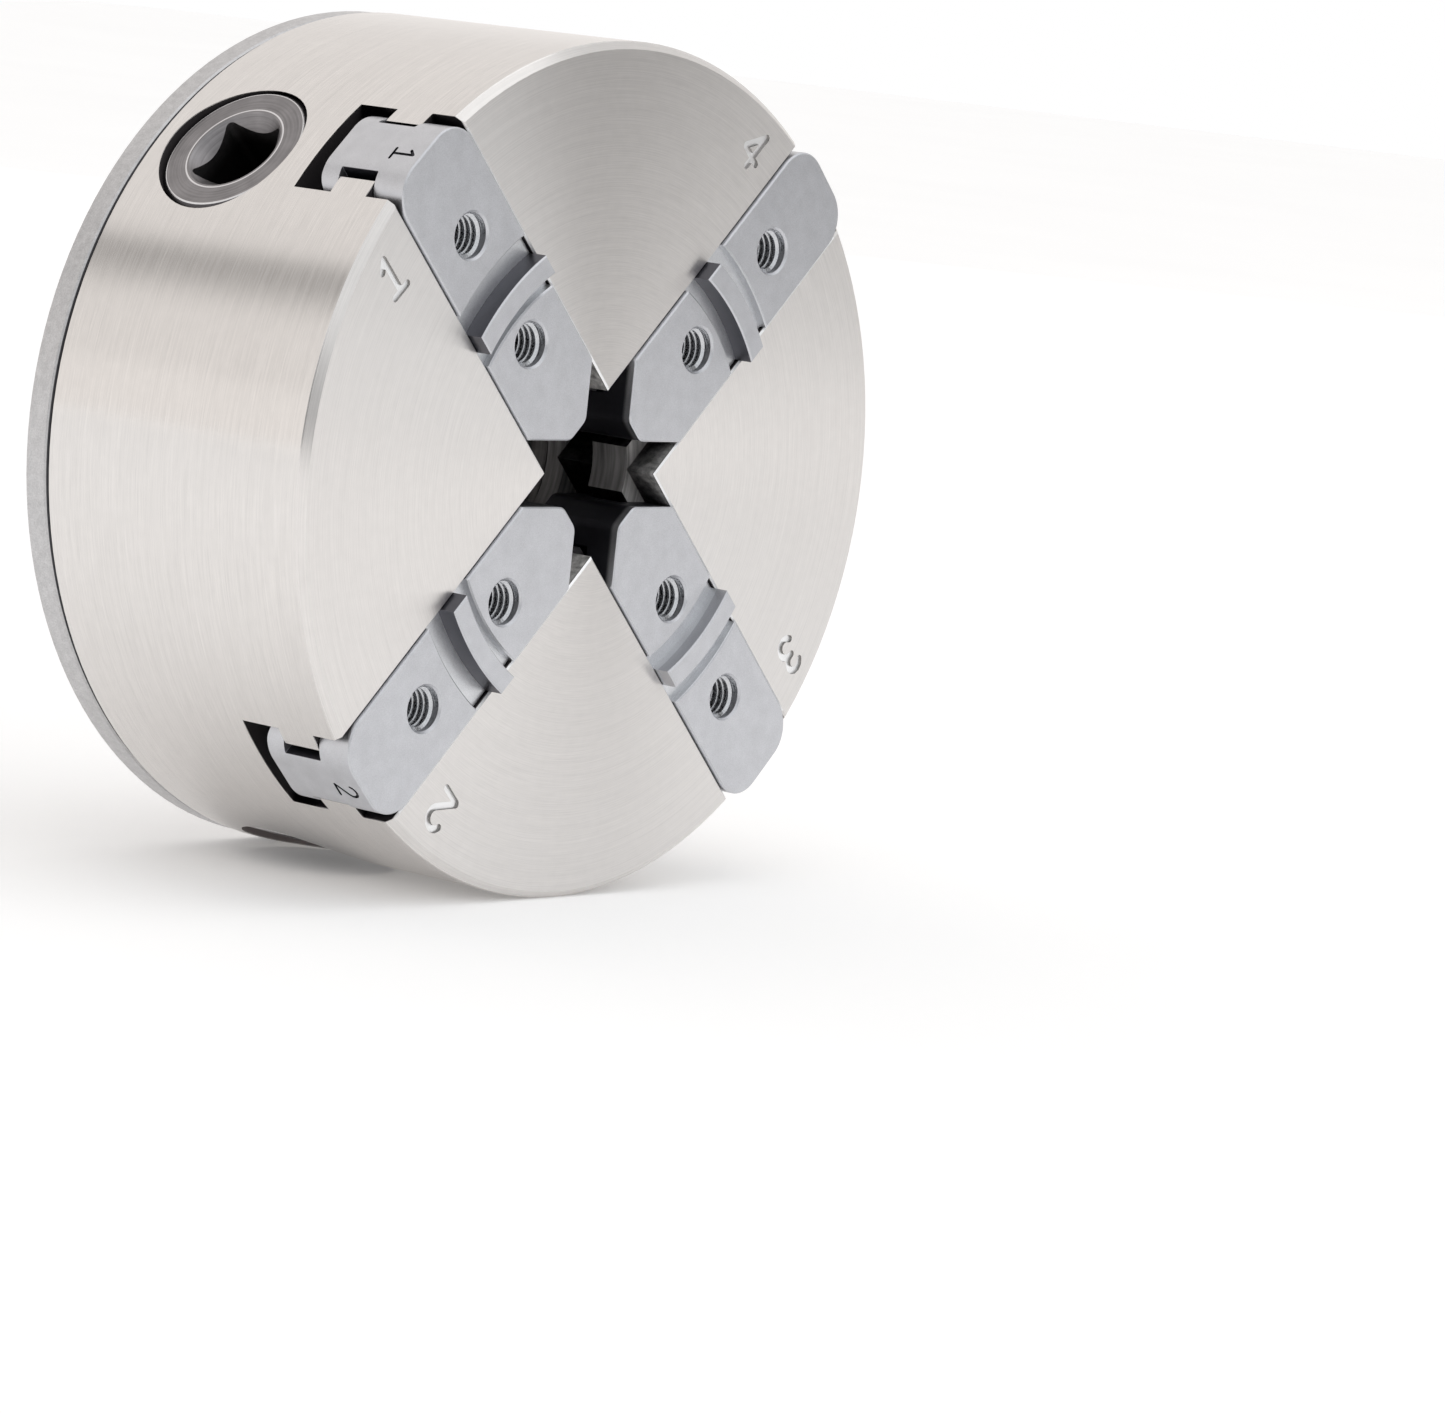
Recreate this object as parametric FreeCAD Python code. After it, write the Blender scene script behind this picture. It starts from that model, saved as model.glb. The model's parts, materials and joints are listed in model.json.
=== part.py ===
import FreeCAD, Part
import math
import os

# Self-centring scroll chuck with four jaws, for a lathe spindle. Sizes are in millimetres and degrees.
# The chuck is built standing on its hub, axis up. A depth is measured backwards from the front face,
# and an angle anticlockwise from the right, seen from the front. At the end the chuck is laid down:
# its axis lies along Y with the front face towards -Y, and the origin is the centre of the hub's rear face.

# Body: an open pot whose web carries the jaw slots and whose hub screws on to the spindle.
BODY_RADIUS = 57.0
BODY_DEPTH = 46.0
FRONT_CHAMFER = 1.0
REAR_CHAMFER = 0.8
COVER_THICKNESS = 4.0
HUB_PROJECTION = 14.0
LENGTH = BODY_DEPTH + COVER_THICKNESS + HUB_PROJECTION
WEB_DEPTH = 14.0
CAVITY_RADIUS = 44.5
HUB_RADIUS = 23.0
HUB_CHAMFER = 0.6
CENTRE_BORE_RADIUS = 10.9
HUB_MOUTH_RADIUS = 12.65
HUB_MOUTH_END = 20.5

# Spindle socket in the hub, for an M33 x 3.5 nose with a plain 34 mm register.
THREAD_RADIUS = 16.5
THREAD_START = 24.0
THREAD_RELIEF_RADIUS = 16.8
REGISTER_RADIUS = 17.0
REGISTER_LENGTH = 9.0

# Jaws and their T-slots.
JAW_ANGLES = (135.0, 225.0, 315.0, 45.0)
SLOT_HALF_WIDTH = 7.8
SLOT_MOUTH_CHAMFER = 0.25
LIP_HALF_WIDTH = 5.27
LIP_FRONT = 4.85
LIP_BACK = 10.9
SLOT_FLOOR = 17.3
JAW_HALF_WIDTH = 7.7
JAW_NECK_HALF_WIDTH = 4.2
JAW_PAD_PROUD = 0.4
JAW_RIB_PROUD = 2.25
JAW_CHANNEL_DEPTH = 0.8
JAW_EDGE_CHAMFER = 0.2
JAW_HEAD_BACK = 4.7
JAW_BASE_FRONT = 11.0
JAW_BASE_BACK = 13.95
JAW_BASE_CORNER = 2.5
JAW_TIP = 8.1
JAW_TIP_HALF_WIDTH = 1.9
JAW_TIP_CORNER = 1.8
JAW_END = 57.7
JAW_END_CORNER = 5.0
JAW_CHANNEL_RADII = ((28.3, 30.7), (33.7, 37.0))
JAW_SCREW_RADII = (23.9, 43.2)
JAW_SCREW_HOLE_RADIUS = 3.0
JAW_SCREW_CHAMFER = 0.3
JAW_SCREW_DEPTH = 10.5
DRILL_POINT = 1.2
DRILL_POINT_FLAT = 0.6

# Scroll: a flat spiral ridge that drives the jaws, with a bevel gear on its back.
SCROLL_PITCH = 5.0
SCROLL_START_RADIUS = 25.0
SCROLL_END_RADIUS = 42.4
SCROLL_RIDGE_WIDTH = 2.1
SCROLL_RIDGE_FRONT = 14.2
SCROLL_FACE = 17.25
SCROLL_BORE_CLEARANCE = 0.06
SCROLL_RADIUS = 43.5
SCROLL_BOSS_RADIUS = 28.3
SCROLL_BOSS_BACK = 26.0
JAW_TOOTH_BACK = 17.0
JAW_TOOTH_WIDTH = 2.3
JAW_TOOTH_HALF_LENGTH = 6.0
JAW_TOOTH_SPAN = (15.5, 46.5)
JAW_TOOTH_OUTER_FLANK = 28.0
JAW_TOOTH_INNER_FLANK = 40.0
JAW_TOOTH_WORKING_RADIUS = 32.0

# Bevel gearing: every tooth runs to the point where a pinion's axis meets the chuck's axis.
# Heights are given at the gear's outer radius and shrink in proportion to the radius.
PINION_DEPTH = 32.4
PINION_ANGLES = (137.4, 257.4, 17.4)
PINION_TEETH = 9
GEAR_TEETH = 45
GEAR_RADIUS = 42.75
PITCH_HEIGHT = GEAR_RADIUS * PINION_TEETH / GEAR_TEETH
PRESSURE_ANGLE = math.radians(25.0)
GEAR_ADDENDUM = 1.14
GEAR_DEDENDUM = 2.1
GEAR_SPACE = 3.1
GEAR_CUT_END = 46.0
PINION_ADDENDUM = 1.71
PINION_DEDENDUM = 1.6
TOOTH_BACKLASH = 0.12
FLANK_STEPS = 4

# Pinions, which the chuck key turns.
PINION_HOLE_RADIUS = 10.7
PINION_HEAD_RADIUS = 10.62
PINION_HEAD_START = 44.0
PINION_FACE = 56.1
PINION_FACE_CHAMFER = 0.7
PINION_TOOTH_START = 31.0
PINION_NOSE_RADIUS = 4.0
PINION_NOSE_START = 18.5
PINION_NOSE_HOLE_RADIUS = 4.06
PINION_NOSE_HOLE_START = 18.3
PINION_GROOVE_FLOOR = 8.4
PINION_GROOVE_SIDE_CLEARANCE = 0.1
KEY_SQUARE = 9.5
KEY_SQUARE_CORNER = 1.0
KEY_SOCKET_DEPTH = 11.0
KEY_COUNTERSINK_RADIUS = 6.65

# Pins that hold the pinions in, and the screws that hold the cover over the pins.
PIN_RADIUS = 2.0
PIN_RING_RADIUS = 51.0
PIN_FRONT = 41.3
PIN_BACK = 45.9
PIN_CHAMFER = 0.3
COVER_RADIUS = 56.8
COVER_CHAMFER = 0.4
COVER_BORE_RADIUS = 23.05
COVER_SCREW_RING_RADIUS = 50.75
COVER_SCREW_ANGLES = [47.4 + 60.0 * step for step in range(6)]
COVER_SCREW_RADIUS = 2.45
COVER_SCREW_HEAD_RADIUS = 4.9
COVER_SCREW_LENGTH = 12.0
COVER_SCREW_KEY = 3.0
COVER_SCREW_KEY_DEPTH = 2.0
COVER_SCREW_HOLE_END = 37.0
FIXED_CLEARANCE = 0.05

# Grub screws that lock the chuck on the spindle, so that the lathe can run in reverse.
LOCK_SCREW_ANGLES = (107.4, 197.4)
LOCK_SCREW_DEPTH = 59.5
LOCK_SCREW_HOLE_RADIUS = 3.0
LOCK_SCREW_START = 17.5
LOCK_SCREW_END = 22.7
LOCK_SCREW_KEY = 3.0
LOCK_SCREW_KEY_DEPTH = 2.6
LOCK_SCREW_CHAMFER = 0.7

# Snap ring that holds the scroll on the hub.
SNAP_RING_FRONT = 26.2
SNAP_RING_BACK = 27.7
SNAP_RING_BORE_RADIUS = 22.2
SNAP_RING_RADIUS = 25.2
SNAP_RING_GROOVE_RADIUS = 22.1
SNAP_RING_GAP_ANGLE = 77.4
SNAP_RING_GAP_HALF_WIDTH = 2.4
SNAP_RING_LUG_RADIUS = 2.1
SNAP_RING_LUG_OFFSET = 4.6
SNAP_RING_LUG_RING_RADIUS = 24.7
SNAP_RING_LUG_HOLE = 0.9

# Engraved jaw numbers.
FACE_DIGIT_HEIGHT = 5.4
FACE_DIGIT_STROKE = 1.0
FACE_DIGIT_DEPTH = 0.35
FACE_DIGIT_RADIUS = 50.8
FACE_DIGIT_ANGLE = 15.5
JAW_DIGIT_HEIGHT = 3.4
JAW_DIGIT_STROKE = 0.42
JAW_DIGIT_DEPTH = 0.2
JAW_DIGIT_CENTRE = 2.8
JAW_DIGIT_OFFSET = 0.9

OVERCUT = 1.0
SAME_PLACE = 0.0001
UP = FreeCAD.Vector(0, 0, 1)
OUTWARD = FreeCAD.Vector(1, 0, 0)
CENTRE = FreeCAD.Vector(0, 0, 0)


def arc_points(x, y, radius, start, end, steps=8):
    points = []
    for step in range(steps + 1):
        turn = math.radians(start + (end - start) * step / steps)
        points.append((x + radius * math.cos(turn), y + radius * math.sin(turn)))
    return points


# Each digit is a list of strokes, and a stroke is a path of points on a grid one unit high.
DIGITS = {
    "1": [[(-0.22, 0.77), (0.0, 1.0)], [(0.0, 0.98), (0.0, 0.02)], [(-0.26, 0.0), (0.26, 0.0)]],
    "2": [arc_points(0.0, 0.72, 0.28, 165.0, -40.0) + [(-0.28, 0.02)], [(-0.26, 0.0), (0.3, 0.0)]],
    "3": [
        arc_points(0.0, 0.77, 0.23, 155.0, -90.0) + [(-0.06, 0.54)],
        [(-0.04, 0.53)] + arc_points(0.0, 0.27, 0.26, 90.0, -155.0),
    ],
    "4": [[(0.12, 1.0), (0.12, 0.0)], [(0.1, 0.98), (-0.3, 0.3)], [(-0.28, 0.28), (0.34, 0.28)]],
}


def at(depth):
    return LENGTH - depth


def disc(radius, front, back):
    return Part.makeCylinder(radius, back - front, FreeCAD.Vector(0, 0, at(back)), UP)


def ring(inner, outer, front, back):
    return disc(outer, front, back).cut(disc(inner, front, back))


def turned(profile):
    """A solid of revolution about the chuck's axis, from (radius, depth) corners."""
    corners = [FreeCAD.Vector(radius, 0, at(depth)) for radius, depth in profile]
    return Part.Face(Part.makePolygon(corners + corners[:1])).revolve(CENTRE, UP, 360)


def turned_on_pinion_axis(profile):
    """A solid of revolution about a pinion's axis at angle 0, from (distance out, radius) corners."""
    middle = FreeCAD.Vector(0, 0, at(PINION_DEPTH))
    corners = [middle + FreeCAD.Vector(out, 0, radius) for out, radius in profile]
    return Part.Face(Part.makePolygon(corners + corners[:1])).revolve(middle, OUTWARD, 360)


def rod_outward(radius, start, end, depth):
    return Part.makeCylinder(radius, end - start, FreeCAD.Vector(start, 0, at(depth)), OUTWARD)


def upright_rod(radius, ring_radius, front, back):
    return Part.makeCylinder(radius, back - front, FreeCAD.Vector(ring_radius, 0, at(back)), UP)


def prism(corners, direction):
    return Part.Face(Part.makePolygon(corners + corners[:1])).extrude(direction)


def hexagon_prism(across_flats, length):
    radius = across_flats / math.sqrt(3)
    corners = []
    for step in range(6):
        turn = math.radians(60 * step)
        corners.append(FreeCAD.Vector(radius * math.cos(turn), radius * math.sin(turn), 0))
    return prism(corners, FreeCAD.Vector(0, 0, length))


def turn_to(shape, angle):
    copy = shape.copy()
    copy.rotate(CENTRE, UP, angle)
    return copy


def all_round(shape, angles):
    return [turn_to(shape, angle) for angle in angles]


# ---- Digits

def stroke_outline(path, width):
    """The closed outline of a stroke of even width along a path, with rounded ends."""
    half = width / 2
    headings = []
    for (x0, y0), (x1, y1) in zip(path, path[1:]):
        length = math.hypot(x1 - x0, y1 - y0)
        headings.append(((x1 - x0) / length, (y1 - y0) / length))
    left = []
    right = []
    for index, (x, y) in enumerate(path):
        before = headings[max(index - 1, 0)]
        after = headings[min(index, len(headings) - 1)]
        share = half / (1 + before[0] * after[0] + before[1] * after[1])
        across = (-(before[1] + after[1]) * share, (before[0] + after[0]) * share)
        left.append((x + across[0], y + across[1]))
        right.append((x - across[0], y - across[1]))
    start = math.degrees(math.atan2(headings[0][1], headings[0][0]))
    end = math.degrees(math.atan2(headings[-1][1], headings[-1][0]))
    start_cap = arc_points(*path[0], half, start + 270, start + 90, 6)[1:-1]
    end_cap = arc_points(*path[-1], half, end + 90, end - 90, 6)[1:-1]
    return left + end_cap + right[::-1] + start_cap


def digit_cutter(digit, height, width, depth):
    """The digit as a cutter that goes to the depth below z = 0, with its middle at the origin."""
    strokes = []
    for path in DIGITS[digit]:
        outline = stroke_outline([(x * height, (y - 0.5) * height) for x, y in path], width)
        corners = [FreeCAD.Vector(x, y, -depth) for x, y in outline]
        strokes.append(prism(corners, UP * (depth + OVERCUT)))
    return strokes[0].multiFuse(strokes[1:])


def face_digit_cutter(digit, jaw_angle):
    """A digit beside its jaw on the front face, with its top towards the rim."""
    cutter = digit_cutter(digit, FACE_DIGIT_HEIGHT, FACE_DIGIT_STROKE, FACE_DIGIT_DEPTH)
    cutter.rotate(CENTRE, UP, jaw_angle - 90)
    turn = math.radians(jaw_angle + FACE_DIGIT_ANGLE)
    place = FreeCAD.Vector(math.cos(turn), math.sin(turn), 0) * FACE_DIGIT_RADIUS
    cutter.translate(place + FreeCAD.Vector(0, 0, at(0)))
    return cutter


def jaw_digit_cutter(digit):
    """A digit on a jaw's outer end, with its top towards the front."""
    cutter = digit_cutter(digit, JAW_DIGIT_HEIGHT, JAW_DIGIT_STROKE, JAW_DIGIT_DEPTH)
    cutter.rotate(CENTRE, FreeCAD.Vector(1, 1, 1), 120)
    cutter.translate(FreeCAD.Vector(JAW_END, JAW_DIGIT_OFFSET, at(JAW_DIGIT_CENTRE)))
    return cutter


# ---- Bevel gearing

def gear_height(height, radius):
    """A height above the pinion's axis, given at the gear's outer radius, scaled to another radius."""
    return height * radius / GEAR_RADIUS


def gear_depth(height, radius):
    return PINION_DEPTH - gear_height(height, radius)


def gear_section(outline, radius):
    """A closed wire across a tooth at a radius, from (sideways, height) points at the outer radius."""
    points = []
    for side, height in outline:
        above = at(PINION_DEPTH) + gear_height(height, radius)
        points.append(FreeCAD.Vector(radius, gear_height(side, radius), above))
    return Part.makePolygon(points + points[:1])


def gear_loft(outline, start, end):
    return Part.makeLoft([gear_section(outline, start), gear_section(outline, end)], True, True)


def gear_space_cutter():
    """The gap between two gear teeth, straight-sided and narrowing towards its root."""
    mouth = PITCH_HEIGHT - GEAR_ADDENDUM - OVERCUT
    root = PITCH_HEIGHT + GEAR_DEDENDUM
    mouth_half = GEAR_SPACE / 2 + (PITCH_HEIGHT - mouth) * math.tan(PRESSURE_ANGLE)
    root_half = GEAR_SPACE / 2 - GEAR_DEDENDUM * math.tan(PRESSURE_ANGLE)
    outline = [(-mouth_half, mouth), (mouth_half, mouth), (root_half, root), (-root_half, root)]
    return gear_loft(outline, SCROLL_BOSS_RADIUS, GEAR_CUT_END)


def involute(angle):
    return math.tan(angle) - angle


def pinion_outline():
    """The toothed outline at the gear's outer radius: involute flanks from the root to the tip."""
    base = PITCH_HEIGHT * math.cos(PRESSURE_ANGLE)
    root = PITCH_HEIGHT - PINION_DEDENDUM
    tip = PITCH_HEIGHT + PINION_ADDENDUM
    half_at_base = (GEAR_SPACE - TOOTH_BACKLASH) / 2 / PITCH_HEIGHT + involute(PRESSURE_ANGLE)
    flank = [(root, half_at_base)]
    for step in range(FLANK_STEPS + 1):
        radius = base + (tip - base) * step / FLANK_STEPS
        flank.append((radius, half_at_base - involute(math.acos(base / radius))))
    outline = []
    for tooth in range(PINION_TEETH):
        middle = 2 * math.pi * tooth / PINION_TEETH
        rising = [(radius, middle - half) for radius, half in flank]
        falling = [(radius, middle + half) for radius, half in reversed(flank)]
        outline += [(radius * math.sin(turn), radius * math.cos(turn)) for radius, turn in rising + falling]
    return outline


# ---- Body

def slot_cutter():
    """One jaw's T-slot, from the chuck's axis out through the rim."""
    half_section = [
        (SLOT_HALF_WIDTH + SLOT_MOUTH_CHAMFER + OVERCUT, -OVERCUT),
        (SLOT_HALF_WIDTH, SLOT_MOUTH_CHAMFER),
        (SLOT_HALF_WIDTH, LIP_FRONT),
        (LIP_HALF_WIDTH, LIP_FRONT),
        (LIP_HALF_WIDTH, LIP_BACK),
        (SLOT_HALF_WIDTH, LIP_BACK),
        (SLOT_HALF_WIDTH, SLOT_FLOOR),
    ]
    section = half_section + [(-side, depth) for side, depth in reversed(half_section)]
    corners = [FreeCAD.Vector(0, side, at(depth)) for side, depth in section]
    return prism(corners, OUTWARD * (BODY_RADIUS + OVERCUT))


def body_blank():
    register_start = LENGTH - REGISTER_LENGTH
    return turned([
        (CENTRE_BORE_RADIUS, 0),
        (BODY_RADIUS - FRONT_CHAMFER, 0),
        (BODY_RADIUS, FRONT_CHAMFER),
        (BODY_RADIUS, BODY_DEPTH - REAR_CHAMFER),
        (BODY_RADIUS - REAR_CHAMFER, BODY_DEPTH),
        (CAVITY_RADIUS, BODY_DEPTH),
        (CAVITY_RADIUS, WEB_DEPTH),
        (HUB_RADIUS, WEB_DEPTH),
        (HUB_RADIUS, SNAP_RING_FRONT - FIXED_CLEARANCE),
        (SNAP_RING_GROOVE_RADIUS, SNAP_RING_FRONT - FIXED_CLEARANCE),
        (SNAP_RING_GROOVE_RADIUS, SNAP_RING_BACK + FIXED_CLEARANCE),
        (HUB_RADIUS, SNAP_RING_BACK + FIXED_CLEARANCE),
        (HUB_RADIUS, LENGTH - HUB_CHAMFER),
        (HUB_RADIUS - HUB_CHAMFER, LENGTH),
        (REGISTER_RADIUS, LENGTH),
        (REGISTER_RADIUS, register_start),
        (THREAD_RADIUS, register_start),
        (THREAD_RADIUS, THREAD_START),
        (THREAD_RELIEF_RADIUS, THREAD_START),
        (THREAD_RELIEF_RADIUS, HUB_MOUTH_END),
        (HUB_MOUTH_RADIUS, HUB_MOUTH_END),
        (HUB_MOUTH_RADIUS, SLOT_FLOOR),
        (CENTRE_BORE_RADIUS, SLOT_FLOOR),
    ])


def chuck_body():
    pinion_hole = rod_outward(PINION_HOLE_RADIUS, CAVITY_RADIUS - 4, BODY_RADIUS + OVERCUT, PINION_DEPTH)
    nose_hole = rod_outward(
        PINION_NOSE_HOLE_RADIUS, PINION_NOSE_HOLE_START, HUB_RADIUS + OVERCUT, PINION_DEPTH
    )
    pin_hole = upright_rod(PIN_RADIUS + FIXED_CLEARANCE, PIN_RING_RADIUS, PIN_FRONT - 2, BODY_DEPTH + OVERCUT)
    screw_hole = upright_rod(
        COVER_SCREW_RADIUS + FIXED_CLEARANCE, COVER_SCREW_RING_RADIUS, COVER_SCREW_HOLE_END, BODY_DEPTH + OVERCUT
    )
    lock_hole = rod_outward(
        LOCK_SCREW_HOLE_RADIUS, REGISTER_RADIUS - OVERCUT, HUB_RADIUS + OVERCUT, LOCK_SCREW_DEPTH
    )
    cutters = all_round(slot_cutter(), JAW_ANGLES)
    for hole in (pinion_hole, nose_hole, pin_hole):
        cutters += all_round(hole, PINION_ANGLES)
    cutters += all_round(screw_hole, COVER_SCREW_ANGLES)
    cutters += all_round(lock_hole, LOCK_SCREW_ANGLES)
    for number, angle in enumerate(JAW_ANGLES, start=1):
        cutters.append(face_digit_cutter(str(number), angle))
    return body_blank().cut(cutters)


# ---- Cover and fastenings

def backplate():
    front = BODY_DEPTH
    back = BODY_DEPTH + COVER_THICKNESS
    plate = turned([
        (COVER_BORE_RADIUS, front),
        (COVER_RADIUS - COVER_CHAMFER, front),
        (COVER_RADIUS, front + COVER_CHAMFER),
        (COVER_RADIUS, back - COVER_CHAMFER),
        (COVER_RADIUS - COVER_CHAMFER, back),
        (COVER_BORE_RADIUS, back),
    ])
    head = COVER_SCREW_HEAD_RADIUS + FIXED_CLEARANCE
    shank = COVER_SCREW_RADIUS + 3 * FIXED_CLEARANCE
    hole = Part.makeCone(head + OVERCUT, shank, head + OVERCUT - shank, FreeCAD.Vector(0, 0, -OVERCUT), UP)
    hole = hole.fuse(Part.makeCylinder(shank, COVER_THICKNESS + OVERCUT, CENTRE, UP))
    hole.translate(FreeCAD.Vector(COVER_SCREW_RING_RADIUS, 0, at(back)))
    return plate.cut(all_round(hole, COVER_SCREW_ANGLES))


def backplate_screw(angle):
    """A countersunk screw with a hexagon socket, its head flush with the back of the cover."""
    head_height = COVER_SCREW_HEAD_RADIUS - COVER_SCREW_RADIUS
    head = Part.makeCone(COVER_SCREW_HEAD_RADIUS, COVER_SCREW_RADIUS, head_height, CENTRE, UP)
    shank = Part.makeCylinder(COVER_SCREW_RADIUS, COVER_SCREW_LENGTH, CENTRE, UP)
    screw = head.fuse(shank).cut(hexagon_prism(COVER_SCREW_KEY, COVER_SCREW_KEY_DEPTH))
    screw.translate(FreeCAD.Vector(COVER_SCREW_RING_RADIUS, 0, at(BODY_DEPTH + COVER_THICKNESS)))
    return turn_to(screw, angle)


def pinion_retaining_pin(angle):
    """A dowel behind a pinion, whose front end sits in the groove round the pinion's head."""
    length = PIN_BACK - PIN_FRONT
    tip = Part.makeCone(PIN_RADIUS, PIN_RADIUS - PIN_CHAMFER, PIN_CHAMFER)
    tip.translate(FreeCAD.Vector(0, 0, length - PIN_CHAMFER))
    pin = Part.makeCylinder(PIN_RADIUS, length - PIN_CHAMFER).fuse(tip)
    pin.translate(FreeCAD.Vector(PIN_RING_RADIUS, 0, at(PIN_BACK)))
    return turn_to(pin, angle)


def spindle_lock_screw(angle):
    """A grub screw in the hub's side, its inner end clear of the register bore."""
    radius = LOCK_SCREW_HOLE_RADIUS - FIXED_CLEARANCE
    length = LOCK_SCREW_END - LOCK_SCREW_START
    point = Part.makeCone(radius - LOCK_SCREW_CHAMFER, radius, LOCK_SCREW_CHAMFER)
    shank = Part.makeCylinder(radius, length - LOCK_SCREW_CHAMFER, UP * LOCK_SCREW_CHAMFER, UP)
    key = hexagon_prism(LOCK_SCREW_KEY, LOCK_SCREW_KEY_DEPTH + OVERCUT)
    key.translate(UP * (length - LOCK_SCREW_KEY_DEPTH))
    screw = point.fuse(shank).cut(key)
    screw.rotate(CENTRE, FreeCAD.Vector(0, 1, 0), 90)
    screw.translate(FreeCAD.Vector(LOCK_SCREW_START, 0, at(LOCK_SCREW_DEPTH)))
    return turn_to(screw, angle)


def scroll_retaining_ring():
    """An open snap ring in the hub's groove, with a lug and a plier hole at each side of its gap."""
    band = ring(SNAP_RING_BORE_RADIUS, SNAP_RING_RADIUS, SNAP_RING_FRONT, SNAP_RING_BACK)
    height = SNAP_RING_BACK - SNAP_RING_FRONT
    lugs = []
    holes = []
    for side in (-1, 1):
        place = FreeCAD.Vector(SNAP_RING_LUG_RING_RADIUS, side * SNAP_RING_LUG_OFFSET, at(SNAP_RING_BACK))
        lugs.append(Part.makeCylinder(SNAP_RING_LUG_RADIUS, height, place, UP))
        holes.append(Part.makeCylinder(SNAP_RING_LUG_HOLE, height, place, UP))
    gap = Part.makeBox(
        2 * SNAP_RING_RADIUS, 2 * SNAP_RING_GAP_HALF_WIDTH, height,
        FreeCAD.Vector(0, -SNAP_RING_GAP_HALF_WIDTH, at(SNAP_RING_BACK)),
    )
    groove_clear = disc(SNAP_RING_BORE_RADIUS, SNAP_RING_FRONT, SNAP_RING_BACK)
    return turn_to(band.multiFuse(lugs).cut([gap, groove_clear] + holes), SNAP_RING_GAP_ANGLE)


# ---- Scroll

def spiral_radius(turn):
    return SCROLL_START_RADIUS + SCROLL_PITCH * turn / (2 * math.pi)


def spiral_edge(offset, last_turn):
    """One side of the ridge, offset from its middle line, as a smooth curve."""
    steps = 24 * math.ceil(last_turn / (2 * math.pi))
    points = []
    for step in range(steps + 1):
        turn = last_turn * step / steps
        radius = spiral_radius(turn) + offset
        points.append(FreeCAD.Vector(radius * math.cos(turn), radius * math.sin(turn), at(SCROLL_FACE)))
    curve = Part.BSplineCurve()
    curve.interpolate(points)
    return curve.toShape()


def scroll_ridge():
    last_turn = (SCROLL_END_RADIUS - SCROLL_START_RADIUS) / SCROLL_PITCH * 2 * math.pi
    inner = spiral_edge(-SCROLL_RIDGE_WIDTH / 2, last_turn)
    outer = spiral_edge(SCROLL_RIDGE_WIDTH / 2, last_turn)
    inner_start, inner_end = [vertex.Point for vertex in inner.Vertexes]
    outer_start, outer_end = [vertex.Point for vertex in outer.Vertexes]
    start = Part.makeLine(inner_start, outer_start)
    end = Part.makeLine(outer_end, inner_end)
    outline = Part.Wire([start, outer, end, inner])
    return Part.Face(outline).extrude(UP * (SCROLL_FACE - SCROLL_RIDGE_FRONT))


def scroll():
    bore = HUB_RADIUS + SCROLL_BORE_CLEARANCE
    tip = PITCH_HEIGHT - GEAR_ADDENDUM
    blank = turned([
        (bore, SCROLL_FACE),
        (SCROLL_RADIUS, SCROLL_FACE),
        (SCROLL_RADIUS, gear_depth(tip, SCROLL_RADIUS)),
        (SCROLL_BOSS_RADIUS, gear_depth(tip, SCROLL_BOSS_RADIUS)),
        (SCROLL_BOSS_RADIUS, SCROLL_BOSS_BACK),
        (bore, SCROLL_BOSS_BACK),
    ])
    spaces = [PINION_ANGLES[0] + 360.0 * step / GEAR_TEETH for step in range(GEAR_TEETH)]
    return blank.cut(all_round(gear_space_cutter(), spaces)).fuse(scroll_ridge())


# ---- Pinions

def key_socket_cutter():
    half = KEY_SQUARE / 2
    bottom = PINION_FACE - KEY_SOCKET_DEPTH
    middle = at(PINION_DEPTH)
    square = Part.makeBox(
        KEY_SOCKET_DEPTH + OVERCUT, KEY_SQUARE, KEY_SQUARE, FreeCAD.Vector(bottom, -half, middle - half)
    )
    corners = [edge for edge in square.Edges if edge.BoundBox.XLength > KEY_SOCKET_DEPTH]
    square = square.makeFillet(KEY_SQUARE_CORNER, corners)
    countersink = turned_on_pinion_axis([
        (PINION_FACE - KEY_COUNTERSINK_RADIUS, 0),
        (PINION_FACE + OVERCUT, 0),
        (PINION_FACE + OVERCUT, KEY_COUNTERSINK_RADIUS + OVERCUT),
    ])
    return square.fuse(countersink)


def pinion(angle):
    """A bevel pinion whose head fills the hole in the rim and whose nose turns in the hub."""
    groove_half = PIN_RADIUS + PINION_GROOVE_SIDE_CLEARANCE
    head = turned_on_pinion_axis([
        (PINION_HEAD_START, 0),
        (PINION_HEAD_START, PINION_HEAD_RADIUS),
        (PIN_RING_RADIUS - groove_half, PINION_HEAD_RADIUS),
        (PIN_RING_RADIUS - groove_half, PINION_GROOVE_FLOOR),
        (PIN_RING_RADIUS + groove_half, PINION_GROOVE_FLOOR),
        (PIN_RING_RADIUS + groove_half, PINION_HEAD_RADIUS),
        (PINION_FACE - PINION_FACE_CHAMFER, PINION_HEAD_RADIUS),
        (PINION_FACE, PINION_HEAD_RADIUS - PINION_FACE_CHAMFER),
        (PINION_FACE, 0),
    ])
    teeth = gear_loft(pinion_outline(), PINION_TOOTH_START, PINION_HEAD_START)
    nose = rod_outward(PINION_NOSE_RADIUS, PINION_NOSE_START, PINION_TOOTH_START, PINION_DEPTH)
    return turn_to(head.multiFuse([teeth, nose]).cut(key_socket_cutter()), angle)


# ---- Jaws

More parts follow.
